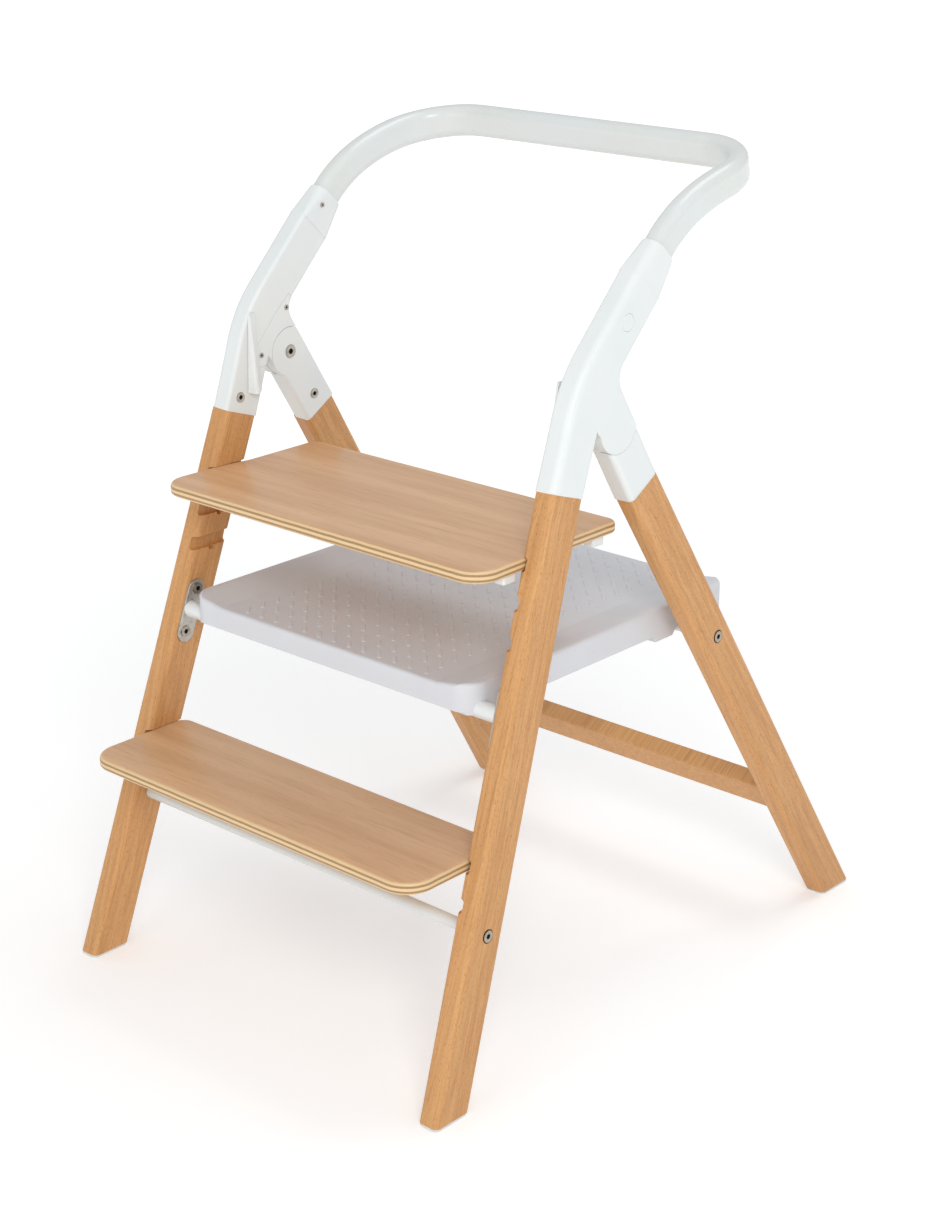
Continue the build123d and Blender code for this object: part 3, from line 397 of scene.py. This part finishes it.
# raised dashes on the platform's panel
treadSettings = {
    "panelTop": 0.393,
    "pitch": 0.021,
    "reach": 0.142,
    "length": 0.0185,
    "width": 0.0046,
    "height": 0.0009,
    "ridge": 0.02,
    "sink": 0.0004,
    "rings": 5,
    "around": 16,
    "frontEdge": 0.016,
    "rearEdge": 0.012,
}


def treadDashes():
    # Each dash is a half capsule: its outline is a stadium, scaled by the cosine of the rise
    # and lifted by the sine of the rise, so it meets the panel upright and closes in a ridge.
    # The dash is turned an eighth of a turn and repeated on a square grid over the panel.
    tread = treadSettings
    count = tread["around"]
    rise = np.linspace(0, math.pi / 2, tread["rings"])
    turn = np.linspace(0, 2 * math.pi, count, endpoint=False) + math.pi / count
    half = tread["width"] / 2
    straight = tread["length"] / 2 - half
    shrink = np.cos(rise)[:, None] * (1 - tread["ridge"]) + tread["ridge"]
    ringX = np.sign(np.cos(turn))[None, :] * straight + half * np.cos(turn)[None, :] * shrink
    ringY = half * np.sin(turn)[None, :] * shrink
    ringZ = (np.sin(rise) * tread["height"])[:, None] + np.zeros_like(ringX)
    skirt = np.stack([ringX[0], ringY[0], ringZ[0] - tread["sink"]], 1)
    flat = np.concatenate([skirt, np.stack([ringX, ringY, ringZ], 2).reshape(-1, 3)])
    eighth = math.sqrt(0.5)
    turnedX = (flat[:, 0] + flat[:, 1]) * eighth
    turnedY = (flat[:, 1] - flat[:, 0]) * eighth
    dash = np.stack([turnedX, turnedY, flat[:, 2]], 1)
    around = np.arange(count)
    following = (around + 1) % count
    wall = np.stack([around, following, following + count, around + count], 1)
    strip = np.arange(count // 2 - 1)
    cap = np.stack([strip, strip + 1, count - 2 - strip, count - 1 - strip], 1)
    walls = [wall + ring * count for ring in range(tread["rings"])]
    oneQuads = np.concatenate([*walls, cap + tread["rings"] * count, cap[:, ::-1]])
    low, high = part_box("platform")
    pitch = tread["pitch"]
    columns = np.arange(-tread["reach"] // pitch + 1, tread["reach"] // pitch + 1) * pitch
    rows = np.arange(low.y + tread["frontEdge"], high.y - tread["rearEdge"], pitch)
    gridX, gridY = np.meshgrid(columns, rows)
    spots = np.stack([gridX.ravel(), gridY.ravel(), np.full(gridX.size, tread["panelTop"])], 1)
    pointSets = dash[None, :, :] + spots[:, None, :]
    meshPiece("treadDashes", pointSets, oneQuads, True, trayWhite, "platform_tray")


treadDashes()
print("stage: tread dashes made")

# painted shade in the screw sockets: a near-black plate laid just above each socket's floor
socketSettings = {
    "share": 0.455,
    "lift": 0.0003,
    "thickness": 0.0002,
    "headReach": 0.0165,
    "slack": 0.0002,
    "coreShare": 0.6,
    "front_frame": ["hinge_bolts", "post_screws", "cover_screws", "collar_screws"]
    + ["tie_rod_bolts", "plate_screws"],
    "rear_frame": ["cap_screws", "rear_rod_bolts"],
}


def eachFastener(name):  # a node's points, parted by side and by nearness to one another
    mesh = nodes[name].data
    flat = np.empty(len(mesh.vertices) * 3)
    mesh.vertices.foreach_get("co", flat)
    spots = flat.reshape(-1, 3)
    groups = []
    for side in (-1, 1):
        left = spots[np.sign(spots[:, 0]) == side]
        while len(left):
            near = np.hypot(left[:, 1] - left[0, 1], left[:, 2] - left[0, 2]) < socketSettings["headReach"]
            groups.append(left[near])
            left = left[~near]
    return groups


def socketPlate(group):
    # The plate is painted shade: a dark sheet where the socket's recess lies in shade.
    # A six-sided plate across the socket: corner angle = sixth of a turn times the corner's number,
    # radius = the head's radius times the socket's share, laid just above the socket's floor.
    centre = (group.min(0) + group.max(0)) / 2
    reach = np.hypot(group[:, 1] - centre[1], group[:, 2] - centre[2])
    ends = (group[:, 0].min(), group[:, 0].max())
    spread = [reach[np.abs(group[:, 0] - end) < socketSettings["slack"]].max() for end in ends]
    headFirst = spread[0] > spread[1]  # the wider end is the head
    head = ends[0] if headFirst else ends[1]
    inward = 1.0 if headFirst else -1.0
    core = group[reach < max(spread) * socketSettings["coreShare"]]
    steps = np.unique(np.round(np.abs(core[:, 0] - head), 5))
    depth = steps[steps > socketSettings["slack"]][0] - socketSettings["lift"]
    corner = np.arange(6) * math.pi / 3
    radius = max(spread) * socketSettings["share"]
    sideY = centre[1] + radius * np.cos(corner)
    sideZ = centre[2] + radius * np.sin(corner)
    faceX = sorted(head + inward * (depth - back) for back in (socketSettings["thickness"], 0))
    return np.concatenate([np.stack([corner * 0 + x, sideY, sideZ], 1) for x in faceX])


# painted shade: one piece of dark socket plates for each fastener node
def paintSocketShade(name, body):
    around = np.arange(6)
    following = (around + 1) % 6
    walls = np.stack([following, following + 6, around + 6, around], 1)
    caps = np.array([[3, 2, 1, 0], [5, 4, 3, 0], [6, 7, 8, 9], [6, 9, 10, 11]])
    pointSets = np.stack([socketPlate(group) for group in eachFastener(name)])
    oneQuads = np.concatenate([walls, caps])
    meshPiece(name + "_socket_painted_shade", pointSets, oneQuads, False, socketPaintedShade, body)


for body in ("front_frame", "rear_frame"):
    for name in socketSettings[body]:
        paintSocketShade(name, body)
print("stage: sockets made")

# pale floor, brighter far off so that the photo's view stays plain to its edges
floorSettings = {
    "size": 60.0,
    "drop": 0.0006,
    "colour": tone(246, 246, 246),
    "nearGlow": 0.22,
    "farGlow": 0.55,
    "nearReach": 0.5,
    "farReach": 3.2,
}
floorShade = Shade(
    "floorWhite",
    {
        "Base Color": floorSettings["colour"],
        "Roughness": 0.9,
        "Specular IOR Level": 0.1,
        "Emission Strength": 1.0,
    },
)
floorReach = floorShade.node(
    "ShaderNodeVectorMath", {"operation": "LENGTH"}, {0: floorShade.place()}, out=1
)
floorGlow = floorShade.remap(
    floorReach,
    floorSettings["nearReach"],
    floorSettings["farReach"],
    floorSettings["nearGlow"],
    floorSettings["farGlow"],
)
floorShade.feed("Emission Color", floorShade.blend(floorGlow, (0, 0, 0, 1), (1, 1, 1, 1)))
bpy.ops.mesh.primitive_plane_add(size=floorSettings["size"], location=(0, 0, -floorSettings["drop"]))
floor = bpy.context.object
floor.name = "studioFloor"
floor.data.materials.append(floorShade.material)

worldSettings = {"colour": (0.98, 0.99, 1.0, 1), "strength": 0.6}
world = bpy.data.worlds.new("studioWorld")
bpy.context.scene.world = world
world.use_nodes = True
backdrop = world.node_tree.nodes["Background"]
backdrop.inputs["Color"].default_value = worldSettings["colour"]
backdrop.inputs["Strength"].default_value = worldSettings["strength"]
bpy.context.scene.view_settings.view_transform = "Standard"

lampSettings = {
    "keyLamp": {"at": (2.3, -2.0, 2.3), "aim": (0, 0, 0.4), "size": 1.1, "power": 36.0},
    "fillLamp": {"at": (0.2, -3.0, 1.2), "aim": (0, 0, 0.35), "size": 1.4, "power": 10.0},
    "topLamp": {"at": (0.2, 1.2, 3.4), "aim": (0, 0, 0.3), "size": 1.6, "power": 20.0},
}
for name, lamp in lampSettings.items():
    light = bpy.data.lights.new(name, "AREA")
    light.energy = lamp["power"]
    light.size = lamp["size"]
    holder = bpy.data.objects.new(name, light)
    bpy.context.scene.collection.objects.link(holder)
    aimX, aimY, aimZ = np.array(lamp["aim"]) - np.array(lamp["at"])
    tilt = math.acos(-aimZ / math.hypot(aimX, aimY, aimZ))
    holder.location = lamp["at"]
    holder.rotation_euler = (tilt, 0, math.atan2(aimY, aimX) - math.pi / 2)
print("stage: floor and light set")

cameraSettings = {
    "place": (1.52884, -1.69544, 1.21335),
    "right": (0.74192, 0.67048, -0.00342),
    "up": (-0.23036, 0.25969, 0.93781),
    "back": (0.62967, -0.69500, 0.34712),
    "lens": 67.49,
    "sensor": 36,
}
cameraData = bpy.data.cameras.new("photoCamera")
cameraData.lens = cameraSettings["lens"]
cameraData.sensor_width = cameraSettings["sensor"]
camera = bpy.data.objects.new("photoCamera", cameraData)
bpy.context.scene.collection.objects.link(camera)
axes = Matrix((cameraSettings["right"], cameraSettings["up"], cameraSettings["back"])).transposed()
camera.matrix_world = Matrix.Translation(cameraSettings["place"]) @ axes.to_4x4()
bpy.context.scene.camera = camera
print("stage: camera set")
